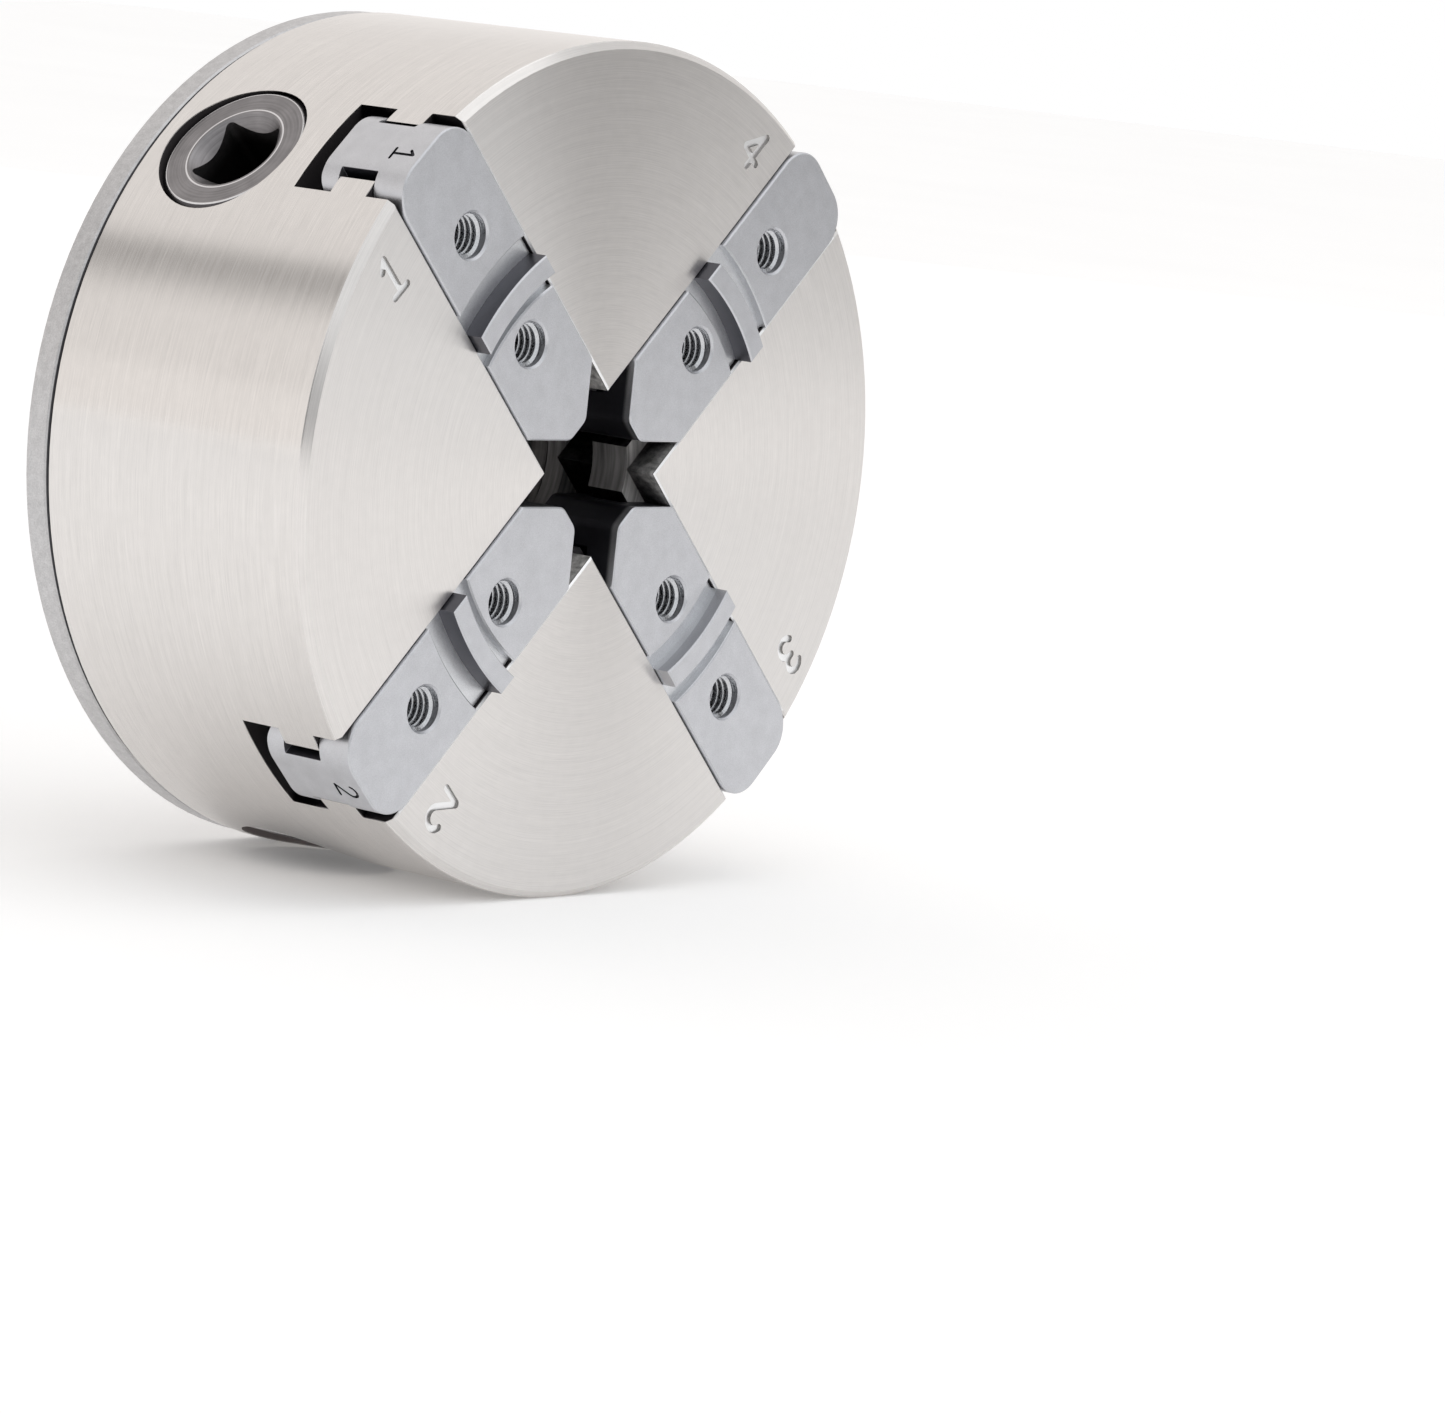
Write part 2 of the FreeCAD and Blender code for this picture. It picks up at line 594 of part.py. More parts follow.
def jaw_section():
    """The jaw's T-shaped cross-section, with round corners on the back of its base."""
    corner = JAW_BASE_CORNER
    half = [
        (JAW_HALF_WIDTH, -JAW_RIB_PROUD),
        (JAW_HALF_WIDTH, JAW_HEAD_BACK),
        (JAW_NECK_HALF_WIDTH, JAW_HEAD_BACK),
        (JAW_NECK_HALF_WIDTH, JAW_BASE_FRONT),
        (JAW_HALF_WIDTH, JAW_BASE_FRONT),
        (JAW_HALF_WIDTH, JAW_BASE_BACK - corner),
    ]
    right = [FreeCAD.Vector(0, side, at(depth)) for side, depth in half]
    left = [FreeCAD.Vector(0, -side, at(depth)) for side, depth in reversed(half)]
    across = JAW_HALF_WIDTH - corner
    slant = corner / math.sqrt(2)
    right_foot = FreeCAD.Vector(0, across, at(JAW_BASE_BACK))
    left_foot = FreeCAD.Vector(0, -across, at(JAW_BASE_BACK))
    right_knee = FreeCAD.Vector(0, across + slant, at(JAW_BASE_BACK - corner + slant))
    left_knee = FreeCAD.Vector(0, -across - slant, at(JAW_BASE_BACK - corner + slant))
    edges = [
        *Part.makePolygon(right).Edges,
        Part.Arc(right[-1], right_knee, right_foot).toShape(),
        Part.makeLine(right_foot, left_foot),
        Part.Arc(left_foot, left_knee, left[0]).toShape(),
        *Part.makePolygon(left).Edges,
        Part.makeLine(left[-1], right[0]),
    ]
    return Part.Face(Part.Wire(edges))


def jaw_plan():
    """A block with the jaw's outline from the front: a blunt right-angled tip and a square end, both with
    round corners."""
    side = JAW_HALF_WIDTH
    shoulder = JAW_TIP + side - JAW_TIP_HALF_WIDTH
    corner = JAW_END_CORNER
    slant = corner / math.sqrt(2)
    spots = [
        (JAW_END - corner, side),
        (shoulder, side),
        (JAW_TIP, JAW_TIP_HALF_WIDTH),
        (JAW_TIP, -JAW_TIP_HALF_WIDTH),
        (shoulder, -side),
        (JAW_END - corner, -side),
    ]
    back = at(JAW_TOOTH_BACK)
    outline = [FreeCAD.Vector(out, sideways, back) for out, sideways in spots]
    lower_end = FreeCAD.Vector(JAW_END, corner - side, back)
    upper_end = FreeCAD.Vector(JAW_END, side - corner, back)
    lower_knee = FreeCAD.Vector(JAW_END - corner + slant, corner - side - slant, back)
    upper_knee = FreeCAD.Vector(JAW_END - corner + slant, side - corner + slant, back)
    edges = [
        *Part.makePolygon(outline).Edges,
        Part.Arc(outline[-1], lower_knee, lower_end).toShape(),
        Part.makeLine(lower_end, upper_end),
        Part.Arc(upper_end, upper_knee, outline[0]).toShape(),
    ]
    block = Part.Face(Part.Wire(edges)).extrude(UP * (JAW_TOOTH_BACK + JAW_RIB_PROUD))
    tip_corners = []
    for edge in block.Edges:
        box = edge.BoundBox
        if box.XMax < JAW_TIP + SAME_PLACE and box.YLength < SAME_PLACE:
            tip_corners.append(edge)
    return block.makeFillet(JAW_TIP_CORNER, tip_corners)


def jaw_tooth(middle):
    """A crescent rack tooth: its flanks are arcs that clear the ridge at every radius it works at."""
    half = JAW_TOOTH_WIDTH / 2
    front = (JAW_BASE_FRONT + JAW_BASE_BACK) / 2
    height = JAW_TOOTH_BACK - front
    block = Part.makeBox(
        4 * JAW_TOOTH_WIDTH, 2 * JAW_TOOTH_HALF_LENGTH, height,
        FreeCAD.Vector(-2 * JAW_TOOTH_WIDTH, -JAW_TOOTH_HALF_LENGTH, 0),
    )
    outer = Part.makeCylinder(JAW_TOOTH_OUTER_FLANK, height, OUTWARD * (half - JAW_TOOTH_OUTER_FLANK), UP)
    inner = Part.makeCylinder(JAW_TOOTH_INNER_FLANK, height, OUTWARD * (-half - JAW_TOOTH_INNER_FLANK), UP)
    tooth = block.common(outer).cut(inner)
    lean = SCROLL_PITCH / (2 * math.pi) / JAW_TOOTH_WORKING_RADIUS
    tooth.rotate(CENTRE, UP, -math.degrees(math.atan(lean)))
    tooth.translate(FreeCAD.Vector(middle, 0, at(JAW_TOOTH_BACK)))
    return tooth


def jaw_teeth(angle):
    """The rack teeth of the jaw at an angle, each halfway between two turns of the ridge."""
    first = SCROLL_START_RADIUS + SCROLL_PITCH * (angle / 360.0 + 0.5)
    low, high = JAW_TOOTH_SPAN
    places = [first + SCROLL_PITCH * step for step in range(-4, 6)]
    return [jaw_tooth(place) for place in places if low <= place <= high]


def jaw_screw_hole(radius):
    """A tapped blind hole for the screws of a jaw that bolts on."""
    mouth = JAW_SCREW_HOLE_RADIUS + JAW_SCREW_CHAMFER
    profile = [
        (0, -JAW_PAD_PROUD - OVERCUT),
        (mouth + OVERCUT, -JAW_PAD_PROUD - OVERCUT),
        (JAW_SCREW_HOLE_RADIUS, -JAW_PAD_PROUD + JAW_SCREW_CHAMFER),
        (JAW_SCREW_HOLE_RADIUS, JAW_SCREW_DEPTH),
        (DRILL_POINT_FLAT, JAW_SCREW_DEPTH + DRILL_POINT),
        (0, JAW_SCREW_DEPTH + DRILL_POINT),
    ]
    hole = turned(profile)
    hole.translate(OUTWARD * radius)
    return hole


def break_edges(jaw, heights):
    """Chamfers the edges round a jaw's raised faces, given their heights above the front face."""
    edges = []
    for edge in jaw.Edges:
        ends = (edge.BoundBox.ZMin, edge.BoundBox.ZMax)
        level = any(max(abs(end - at(-height)) for end in ends) < SAME_PLACE for height in heights)
        hole_mouth = isinstance(edge.Curve, Part.Circle) and edge.isClosed()
        if level and not hole_mouth:
            edges.append(edge)
    return jaw.makeChamfer(JAW_EDGE_CHAMFER, edges)


def jaw_slide(number):
    angle = JAW_ANGLES[number - 1]
    top = -JAW_RIB_PROUD - OVERCUT
    (inner_start, inner_end), (outer_start, outer_end) = JAW_CHANNEL_RADII
    inner_pad = disc(inner_end, top, -JAW_PAD_PROUD)
    outer_pad = ring(outer_start, JAW_END + OVERCUT + JAW_HALF_WIDTH, top, -JAW_PAD_PROUD)
    inner_channel = ring(inner_start, inner_end, top, JAW_CHANNEL_DEPTH)
    outer_channel = ring(outer_start, outer_end, top, JAW_CHANNEL_DEPTH)
    blank = jaw_section().extrude(OUTWARD * JAW_END).common(jaw_plan())
    cutters = [inner_pad, outer_pad, inner_channel, outer_channel, jaw_digit_cutter(str(number))]
    cutters += [jaw_screw_hole(radius) for radius in JAW_SCREW_RADII]
    jaw = blank.multiFuse(jaw_teeth(angle)).cut(cutters)
    return turn_to(break_edges(jaw, (JAW_PAD_PROUD, JAW_RIB_PROUD)), angle)


# ---- Assembly

def chuck_parts():
    parts = {
        "chuck_body": chuck_body(),
        "backplate": backplate(),
        "scroll": scroll(),
        "scroll_retaining_ring": scroll_retaining_ring(),
    }
    for number, angle in enumerate(COVER_SCREW_ANGLES, start=1):
        parts[f"backplate_screw_{number}"] = backplate_screw(angle)
    for number, angle in enumerate(PINION_ANGLES, start=1):
        parts[f"pinion_{number}"] = pinion(angle)
        parts[f"pinion_retaining_pin_{number}"] = pinion_retaining_pin(angle)
    for number, angle in enumerate(LOCK_SCREW_ANGLES, start=1):
        parts[f"spindle_lock_screw_{number}"] = spindle_lock_screw(angle)
    for number in range(1, len(JAW_ANGLES) + 1):
        parts[f"jaw_slide_{number}"] = jaw_slide(number)
    return parts


os.makedirs("parts", exist_ok=True)
for node, shape in chuck_parts().items():
    shape.rotate(CENTRE, OUTWARD, 90)
    solid = shape.Solids[0]
    print(node, len(shape.Solids), "solid", "valid" if shape.isValid() else "NOT VALID", round(solid.Volume, 1))
    solid.exportStep(f"parts/{node}.step")
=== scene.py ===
import json
import math

import bpy
from mathutils import Matrix, Vector


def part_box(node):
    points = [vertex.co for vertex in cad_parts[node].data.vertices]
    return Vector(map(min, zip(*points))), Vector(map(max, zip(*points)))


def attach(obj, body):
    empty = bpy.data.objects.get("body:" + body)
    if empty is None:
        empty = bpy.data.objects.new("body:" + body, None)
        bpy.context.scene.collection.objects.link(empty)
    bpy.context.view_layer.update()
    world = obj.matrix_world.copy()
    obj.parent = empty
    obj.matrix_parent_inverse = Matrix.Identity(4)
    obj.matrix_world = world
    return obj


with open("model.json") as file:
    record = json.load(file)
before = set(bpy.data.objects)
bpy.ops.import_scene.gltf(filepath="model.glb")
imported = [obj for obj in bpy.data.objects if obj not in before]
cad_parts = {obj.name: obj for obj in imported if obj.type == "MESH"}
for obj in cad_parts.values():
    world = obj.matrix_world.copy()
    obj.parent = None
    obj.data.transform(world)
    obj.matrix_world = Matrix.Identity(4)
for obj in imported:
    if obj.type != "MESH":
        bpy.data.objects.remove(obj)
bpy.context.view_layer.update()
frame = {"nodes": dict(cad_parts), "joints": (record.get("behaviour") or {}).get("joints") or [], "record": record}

# Everything is in metres, in the CAD's frame: the chuck's axis is Y and its front face looks towards -Y.
MM = 0.001
NODES = frame["nodes"]
MOUNTS = {mount["name"]: mount for mount in frame["record"]["mounts"]}
JOINTS = {joint["name"]: joint for joint in frame["joints"]}
BODY_LOW, BODY_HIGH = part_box("chuck_body")
BODY_RADIUS = BODY_HIGH.x
FACE_Y = BODY_LOW.y
FLOOR_Z = BODY_LOW.z
CHUCK_AXIS = Vector((0.0, 1.0, 0.0))
WHITE = (1.0, 1.0, 1.0)


# ---- Node helpers

# Noise seldom leaves the first of these parts of 0 to 1, and rougher noise the second.
NOISE_SPAN = (0.3, 0.7)
WIDE_NOISE_SPAN = (0.25, 0.75)


class Graph:
    """Short calls that add shader nodes and wire them up."""

    def __init__(self, tree):
        self.nodes = tree.nodes
        self.links = tree.links

    def add(self, kind, **settings):
        node = self.nodes.new(kind)
        for key, value in settings.items():
            setattr(node, key, value)
        return node

    def put(self, socket, value):
        """Sets a socket to a plain value, or links it to another socket."""
        if isinstance(value, bpy.types.NodeSocket):
            self.links.new(value, socket)
        else:
            socket.default_value = value

    def fill(self, node, *values):
        """Puts values in a node's first inputs, in order."""
        for socket, value in zip(node.inputs, values):
            self.put(socket, value)
        return node

    def math(self, operation, *values):
        return self.fill(self.add("ShaderNodeMath", operation=operation), *values).outputs[0]

    def vector_math(self, operation, *values):
        node = self.fill(self.add("ShaderNodeVectorMath", operation=operation), *values)
        return node.outputs["Value" if operation in ("DOT_PRODUCT", "LENGTH") else "Vector"]

    def scaled(self, vector, scale):
        node = self.add("ShaderNodeVectorMath", operation="SCALE")
        self.put(node.inputs[0], vector)
        self.put(node.inputs["Scale"], scale)
        return node.outputs[0]

    def combine(self, x, y, z):
        return self.fill(self.add("ShaderNodeCombineXYZ"), x, y, z).outputs[0]

    def split(self, vector):
        return self.fill(self.add("ShaderNodeSeparateXYZ"), vector).outputs

    def position(self):
        return self.add("ShaderNodeTexCoord").outputs["Object"]

    def normal(self):
        return self.add("ShaderNodeNewGeometry").outputs["Normal"]

    def noise(self, vector, scale, detail=2.0, roughness=0.5, w=None):
        node = self.add("ShaderNodeTexNoise", noise_dimensions="3D" if w is None else "4D")
        self.put(node.inputs["Vector"], vector)
        node.inputs["Scale"].default_value = scale
        node.inputs["Detail"].default_value = detail
        node.inputs["Roughness"].default_value = roughness
        if w is not None:
            self.put(node.inputs["W"], w)
        return node.outputs["Fac"]

    def remap(self, value, low, high, to_low, to_high):
        node = self.add("ShaderNodeMapRange")
        self.put(node.inputs["Value"], value)
        limits = (low, high, to_low, to_high)
        for name, limit in zip(("From Min", "From Max", "To Min", "To Max"), limits):
            node.inputs[name].default_value = limit
        return node.outputs[0]

    def vary(self, noise, low, high):
        """Noise stretched to run from low to high."""
        return self.remap(noise, *NOISE_SPAN, low, high)

    def ramp(self, value, start, end):
        """A smooth change from 0 at the start to 1 at the end."""
        node = self.add("ShaderNodeMapRange", interpolation_type="SMOOTHSTEP")
        self.put(node.inputs["Value"], value)
        node.inputs["From Min"].default_value = start
        node.inputs["From Max"].default_value = end
        return node.outputs[0]

    def over(self, value, low, soft):
        """1 where the value is above low, fading out over a soft margin below it."""
        return self.ramp(value, low - soft, low)

    def under(self, value, high, soft):
        """1 where the value is below high, fading out over a soft margin above it."""
        return self.ramp(value, high + soft, high)

    def between(self, value, low, high, soft):
        """1 where the value lies between low and high, fading out over a soft margin outside them."""
        return self.all_of(self.over(value, low, soft), self.under(value, high, soft))

    def all_of(self, first, *others):
        """Factors multiplied together: as masks, where all of them hold."""
        for other in others:
            first = self.math("MULTIPLY", first, other)
        return first

    def any_of(self, first, *others):
        """The largest of several masks: where any of them holds."""
        for other in others:
            first = self.math("MAXIMUM", first, other)
        return first

    def mix_colour(self, factor, first, second, blend="MIX"):
        node = self.add("ShaderNodeMix", data_type="RGBA", blend_type=blend)
        self.put(node.inputs[0], factor)
        for socket, colour in zip(node.inputs[6:8], (first, second)):
            self.put(socket, colour if isinstance(colour, bpy.types.NodeSocket) else (*colour, 1.0))
        return node.outputs[2]

    def mix_value(self, factor, first, second):
        node = self.add("ShaderNodeMix", data_type="FLOAT")
        self.put(node.inputs[0], factor)
        self.put(node.inputs[2], first)
        self.put(node.inputs[3], second)
        return node.outputs[0]

    def shaded(self, colour, shade):
        """A colour multiplied by a grey level."""
        return self.mix_colour(1.0, colour, self.combine(shade, shade, shade), blend="MULTIPLY")

    def bump(self, height, distance):
        node = self.add("ShaderNodeBump")
        node.inputs["Distance"].default_value = distance
        self.put(node.inputs["Height"], height)
        return node.outputs["Normal"]


# ---- Materials

def new_surface(name):
    """An empty principled material: (material, its graph, its shader)."""
    material = bpy.data.materials.new(name)
    material.use_nodes = True
    tree = material.node_tree
    return material, Graph(tree), tree.nodes["Principled BSDF"]


def new_metal(name, anisotropic=0.0):
    """An empty metal material: (material, its graph, its shader)."""
    material, graph, shader = new_surface(name)
    shader.inputs["Metallic"].default_value = 1.0
    shader.inputs["Anisotropic"].default_value = anisotropic
    return material, graph, shader


def wire(graph, shader, colour, roughness, relief, relief_height):
    """Gives a shader its colour and roughness, and a bump from a noise."""
    graph.put(shader.inputs["Base Color"], colour)
    graph.put(shader.inputs["Roughness"], roughness)
    graph.put(shader.inputs["Normal"], graph.bump(relief, relief_height))


def turned_coordinates(graph, axis_point, axis):
    """For a surface turned about an axis: (radius, distance along the axis, outward unit vector)."""
    offset = graph.vector_math("SUBTRACT", graph.position(), tuple(axis_point))
    along = graph.vector_math("DOT_PRODUCT", offset, tuple(axis))
    radial = graph.vector_math("SUBTRACT", offset, graph.scaled(tuple(axis), along))
    return graph.vector_math("LENGTH", radial), along, graph.vector_math("NORMALIZE", radial)


def lathe_marks(graph, turned, width, length):
    """Noise drawn out round the axis, as turning and brushing leave it."""
    radius, along, outward = turned
    around = graph.scaled(outward, width / length * BODY_RADIUS)
    place = graph.vector_math("ADD", around, graph.combine(radius, 0.0, radius))
    return graph.noise(place, 1.0 / width, detail=3.0, roughness=0.6, w=along)


def across_marks(graph, outward, axis):
    """The direction across the turning marks, for the shader's tangent."""
    around = graph.vector_math("CROSS_PRODUCT", tuple(axis), outward)
    return graph.vector_math("NORMALIZE", graph.vector_math("CROSS_PRODUCT", graph.normal(), around))


# How softly a crisp edge of colour fades, and how deep the bright surface of the body goes.
SOFT = 0.02 * MM
SKIN = 0.12 * MM

BODY_COLOUR = (0.80, 0.775, 0.755)
BODY_ANISOTROPY = 0.9
BODY_BACK_Y = -18.0 * MM
BODY_FINE_MARKS = (0.16 * MM, 9 * MM)
BODY_FINE_SHADE = (0.91, 1.05)
BODY_COARSE_MARKS = (0.9 * MM, 40 * MM)
BODY_COARSE_SHADE = (0.975, 1.018)
BODY_MOTTLE_SIZE = 1.6 * MM
BODY_MOTTLE_SHADE = (0.98, 1.01)
BODY_GRAIN_HEIGHT = 0.003 * MM
FACE_ROUGHNESS = (0.28, 0.38)
RIM_ROUGHNESS = (0.17, 0.24)
RIM_SHADE = 0.955
FRONT_CHAMFER = 1.0 * MM
REAR_CHAMFER = 0.8 * MM

# Painted shade and oil darken the hollows: near black under the rim, and round the middle painted shade darkens
# the walls with depth, from the mouth's colour to the middle's.
HOLLOW_OIL_AND_SHADE_COLOUR = (0.055, 0.05, 0.052)
HOLLOW_ROUGHNESS = 0.45
MIDDLE_RADIUS = 22 * MM
MIDDLE_FADE = 4 * MM
MIDDLE_SHADE_COLOUR = (0.17, 0.165, 0.165)
MIDDLE_RINGS = (1.3 * MM, 80 * MM)
MIDDLE_RING_SPAN = (0.35, 0.65)
MIDDLE_RING_SHADE = (0.5, 1.5)
MOUTH_COLOUR = (0.60, 0.585, 0.57)
MOUTH_DEPTHS = (0.5 * MM, 6 * MM)
# Painted light lifts the wall of the low hole near the rim.
LOW_HOLE_PAINTED_LIGHT = (0.42, 0.37, 0.37)
LOW_HOLE_Z = -50 * MM
LOW_HOLE_DEPTH = 1.1 * MM

DIGIT_DEPTH = 0.35 * MM
DIGIT_TOP = 0.03 * MM
DIGIT_BORDER = 2 * MM
# A painted highlight on the digits' floors and painted shade on their walls.
DIGIT_FLOOR_HIGHLIGHT = (0.97, 0.97, 0.97)
DIGIT_WALL_SHADE = (0.30, 0.29, 0.28)
# A normal's Y below this faces the front.
FACING_FRONT_Y = -0.5
FACING_FADE = 0.1


def hollow_colour(graph, turned, depth, inset):
    """The body's hollows, darkened by painted shade and oil: black under the rim, and greyer walls with rings
    round the middle, painted darker with depth.
    """
    middle = graph.under(turned[0], MIDDLE_RADIUS, MIDDLE_FADE)
    rings = graph.remap(lathe_marks(graph, turned, *MIDDLE_RINGS), *MIDDLE_RING_SPAN, *MIDDLE_RING_SHADE)
    # Painted shade: the middle's walls darken with depth, from the mouth's colour to the middle's.
    walls = graph.mix_colour(graph.remap(depth, *MOUTH_DEPTHS, 0.0, 1.0), MOUTH_COLOUR, MIDDLE_SHADE_COLOUR)
    hollow = graph.mix_colour(middle, HOLLOW_OIL_AND_SHADE_COLOUR, graph.shaded(walls, rings))
    # Painted light: the low hole near the rim is lifted out of the hollows' painted shade.
    height = graph.split(graph.position())[2]
    low_hole = graph.all_of(graph.under(height, LOW_HOLE_Z, MM), graph.under(inset, LOW_HOLE_DEPTH, SOFT))
    return graph.mix_colour(low_hole, hollow, LOW_HOLE_PAINTED_LIGHT)


def with_engraving(graph, colour, radius, depth):
    """A face colour with a painted highlight on the floors and painted shade on the walls where the digits are cut
    into it.
    """
    facing_front = graph.under(graph.split(graph.normal())[1], FACING_FRONT_Y, FACING_FADE)
    engraved = graph.all_of(graph.between(depth, DIGIT_TOP, DIGIT_DEPTH + SOFT, SOFT / 2),
                            graph.under(radius, BODY_RADIUS - DIGIT_BORDER, SOFT))
    digit = graph.mix_colour(facing_front, DIGIT_WALL_SHADE, DIGIT_FLOOR_HIGHLIGHT)
    return graph.mix_colour(engraved, colour, digit)


def body_steel():
    """Bright stainless steel, brushed round the rim and faced on the front, darkened in its hollows by painted
    shade and oil.
    """
    material, graph, shader = new_metal("body_steel", BODY_ANISOTROPY)
    turned = radius, along, outward = turned_coordinates(graph, (0, 0, 0), CHUCK_AXIS)
    fine = lathe_marks(graph, turned, *BODY_FINE_MARKS)
    coarse = lathe_marks(graph, turned, *BODY_COARSE_MARKS)
    mottle = graph.noise(graph.position(), 1 / BODY_MOTTLE_SIZE, detail=3.0)

    depth = graph.math("SUBTRACT", along, FACE_Y)
    inset = graph.math("SUBTRACT", BODY_RADIUS, radius)
    from_back = graph.math("SUBTRACT", BODY_BACK_Y, along)
    rim = graph.under(inset, SKIN, SOFT)
    skin = graph.any_of(
        rim,
        graph.under(depth, DIGIT_DEPTH + SOFT, SOFT),
        graph.under(graph.math("ADD", inset, depth), FRONT_CHAMFER + SKIN, SOFT),
        graph.under(graph.math("ADD", inset, from_back), REAR_CHAMFER + SKIN, SOFT),
        graph.under(from_back, -SKIN, SOFT),
    )

    shade = graph.all_of(graph.vary(coarse, *BODY_COARSE_SHADE), graph.vary(fine, *BODY_FINE_SHADE),
                         graph.vary(mottle, *BODY_MOTTLE_SHADE), graph.mix_value(rim, 1.0, RIM_SHADE))
    colour = with_engraving(graph, graph.shaded(BODY_COLOUR, shade), radius, depth)
    finish = graph.mix_value(rim, graph.remap(fine, *WIDE_NOISE_SPAN, *FACE_ROUGHNESS),
                             graph.remap(fine, *WIDE_NOISE_SPAN, *RIM_ROUGHNESS))
    # Below the bright skin, the hollows take their painted shade and oil.
    wire(graph, shader, graph.mix_colour(skin, hollow_colour(graph, turned, depth, inset), colour),
         graph.mix_value(skin, HOLLOW_ROUGHNESS, finish), fine, BODY_GRAIN_HEIGHT)
    graph.put(shader.inputs["Tangent"], across_marks(graph, outward, CHUCK_AXIS))
    return material


JAW_COLOUR = (0.60, 0.605, 0.63)
JAW_GRAIN_SIZE = 0.12 * MM
JAW_CLOUD_SIZE = 2.2 * MM
JAW_CLOUD_SHADE = (0.96, 1.04)
JAW_GRAIN_SHADE = (0.84, 1.16)
JAW_GRAIN_HEIGHT = 0.006 * MM
JAW_ROUGHNESS = (0.34, 0.48)

# The dark digit is stamped in the flat end of the jaw.
DIGIT_INK = (0.04, 0.04, 0.045)
JAW_END = 57.7 * MM
JAW_STAMP_SPAN = (JAW_END - 0.3 * MM, JAW_END - 0.06 * MM)
JAW_DIGIT_SPAN = (0.8 * MM, 4.8 * MM)
JAW_DIGIT_HALF_WIDTH = 2.6 * MM
JAW_DIGIT_FADE = 0.1 * MM

# Painted shade darkens the rib's upright walls, much less on jaw 3, and a painted highlight brightens the channels
# beside it.
JAW_WALL_SHADE_COLOUR = (0.13, 0.13, 0.145)
JAW_RIB_SPAN = (30.5 * MM, 33.9 * MM)
JAW_RIB_FOOT = 0.85 * MM
JAW_UPRIGHT_Y = 0.3
JAW_3_WALL_SHARE = 0.15
JAW_CHANNEL_HIGHLIGHT = (0.74, 0.75, 0.77)
JAW_CHANNELS_SPAN = (28.25 * MM, 37.05 * MM)
JAW_CHANNEL_DEPTHS = (-0.3 * MM, 1.0 * MM)
JAW_CHANNEL_FADE = 0.05 * MM

# Painted shade and oil darken the sides near the middle of the chuck, and the neck.
JAW_SIDE_SHADE_COLOUR = (0.065, 0.065, 0.078)
JAW_SIDE_TOP = 1.2 * MM
JAW_SIDE_TOP_FADE = 0.8 * MM
JAW_SIDE_RADIUS = 26 * MM
JAW_SIDE_RADIUS_FADE = 2 * MM
JAW_NECK_HALF_WIDTH = 4.15 * MM
JAW_NECK_SPAN = (4.8 * MM, 10.9 * MM)


def jaw_masks(graph, position):
    """Where a jaw is dark or bright: (channels with a painted highlight, sides with painted shade and oil, rib
    walls with painted shade, digit). The jaws lie at 45 degrees, so one set of masks in out (along a jaw) and side
    (across it) serves all four."""
    x, y, z = graph.split(position)
    depth = graph.math("SUBTRACT", y, FACE_Y)
    size_x = graph.math("ABSOLUTE", x)
    size_z = graph.math("ABSOLUTE", z)
    out = graph.math("MULTIPLY", graph.math("ADD", size_x, size_z), math.sqrt(0.5))
    side = graph.math("MULTIPLY", graph.math("SUBTRACT", size_x, size_z), math.sqrt(0.5))
    radius = graph.vector_math("LENGTH", graph.combine(x, 0.0, z))

    # A painted highlight on the channels either side of the rib.
    channels = graph.all_of(graph.between(radius, *JAW_CHANNELS_SPAN, SOFT),
                            graph.between(depth, *JAW_CHANNEL_DEPTHS, JAW_CHANNEL_FADE))
    # Painted shade and oil on the sides near the middle, and on the neck.
    inner_sides = graph.all_of(graph.over(depth, JAW_SIDE_TOP, JAW_SIDE_TOP_FADE),
                               graph.under(radius, JAW_SIDE_RADIUS, JAW_SIDE_RADIUS_FADE))
    neck = graph.all_of(graph.between(depth, *JAW_NECK_SPAN, SOFT),
                        graph.over(graph.math("ABSOLUTE", side), JAW_NECK_HALF_WIDTH, SOFT))
    # Painted shade on the rib's upright walls, weaker on jaw 3.
    tilt = graph.math("ABSOLUTE", graph.split(graph.normal())[1])
    upright = graph.under(tilt, JAW_UPRIGHT_Y, FACING_FADE)
    jaw_3 = graph.all_of(graph.over(x, 0.0, MM), graph.under(z, 0.0, MM))
    rib_walls = graph.all_of(upright, graph.between(radius, *JAW_RIB_SPAN, SOFT),
                             graph.under(depth, JAW_RIB_FOOT, SOFT),
                             graph.remap(jaw_3, 0.0, 1.0, 1.0, JAW_3_WALL_SHARE))
    digit = graph.all_of(graph.between(out, *JAW_STAMP_SPAN, SOFT),
                         graph.between(side, -JAW_DIGIT_HALF_WIDTH, JAW_DIGIT_HALF_WIDTH, JAW_DIGIT_FADE),
                         graph.between(depth, *JAW_DIGIT_SPAN, JAW_DIGIT_FADE))
    return channels, graph.any_of(inner_sides, neck), rib_walls, digit


